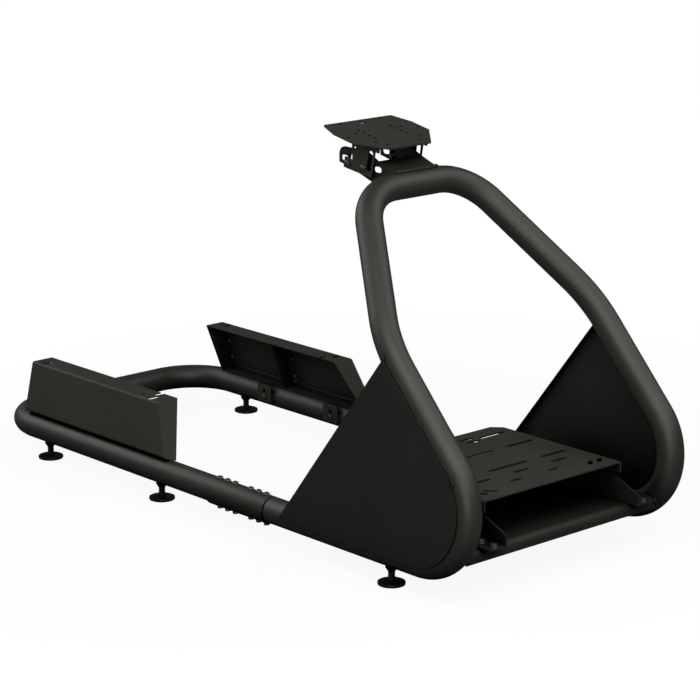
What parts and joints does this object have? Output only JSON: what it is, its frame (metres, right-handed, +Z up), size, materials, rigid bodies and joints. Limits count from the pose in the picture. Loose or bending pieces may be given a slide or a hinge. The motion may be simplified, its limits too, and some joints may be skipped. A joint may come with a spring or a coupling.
{
  "type": "sim racing cockpit",
  "caption": "Free-standing tubular sim racing cockpit frame with side panels, slotted pedal deck, tilting wheel plate, seat brackets and a telescopic seat frame on levelling feet.",
  "frame": {"origin": "on the floor under the middle of the cockpit", "axes": "+X driver's right, +Y the way the driver faces, +Z up"},
  "size_m": [0.5712, 1.4079, 0.7444],
  "materials": {
    "frame_tube": "matte black powder coat on bent steel tube",
    "side_panel": "matte black powder coat on sheet steel",
    "sheet_steel": "matte black powder coat on folded sheet steel",
    "inner_tube": "black-oxide drawn steel tube",
    "black_fastener": "black zinc-plated steel",
    "foot_pad": "moulded black rubber"
  },
  "bodies": {
    "front_frame": {"foot_pad_front_left": "foot_pad", "foot_pad_front_right": "foot_pad", "foot_stem_front_left": "black_fastener", "foot_stem_front_right": "black_fastener", "front_hoop": "frame_tube", "pedal_base": "sheet_steel", "pedal_deck": "sheet_steel", "pedal_gusset_left": "sheet_steel", "pedal_gusset_right": "sheet_steel", "side_panel_left": "side_panel", "side_panel_right": "side_panel", "sleeve_left": "inner_tube", "sleeve_right": "inner_tube", "wheel_fork": "sheet_steel"},
    "seat_frame": {"clamp_saddle_left": "sheet_steel", "clamp_saddle_right": "sheet_steel", "foot_pad_middle_left": "foot_pad", "foot_pad_middle_right": "foot_pad", "foot_pad_rear_left": "foot_pad", "foot_pad_rear_right": "foot_pad", "foot_stem_middle_left": "black_fastener", "foot_stem_middle_right": "black_fastener", "foot_stem_rear_left": "black_fastener", "foot_stem_rear_right": "black_fastener", "seat_bracket_left": "sheet_steel", "seat_bracket_right": "sheet_steel", "seat_frame_tube": "frame_tube", "seat_lugs_left": "sheet_steel", "seat_lugs_right": "sheet_steel"},
    "wheel_deck": {"lock_bolt_left": "black_fastener", "lock_bolt_right": "black_fastener", "pivot_bolt_left": "black_fastener", "pivot_bolt_right": "black_fastener", "tilt_bracket": "sheet_steel", "wheel_plate": "sheet_steel"}
  },
  "joints": [
    {"name": "seat_slide", "type": "slide", "parent": "front_frame", "child": "seat_frame", "axis": [0, -1, 0], "range_m": [0, 0.09]},
    {"name": "wheel_tilt", "type": "hinge", "parent": "front_frame", "child": "wheel_deck", "pos_m": [0, 0.2004, 0.673], "axis": [1, 0, 0], "range_deg": [-18, 0]}
  ]
}
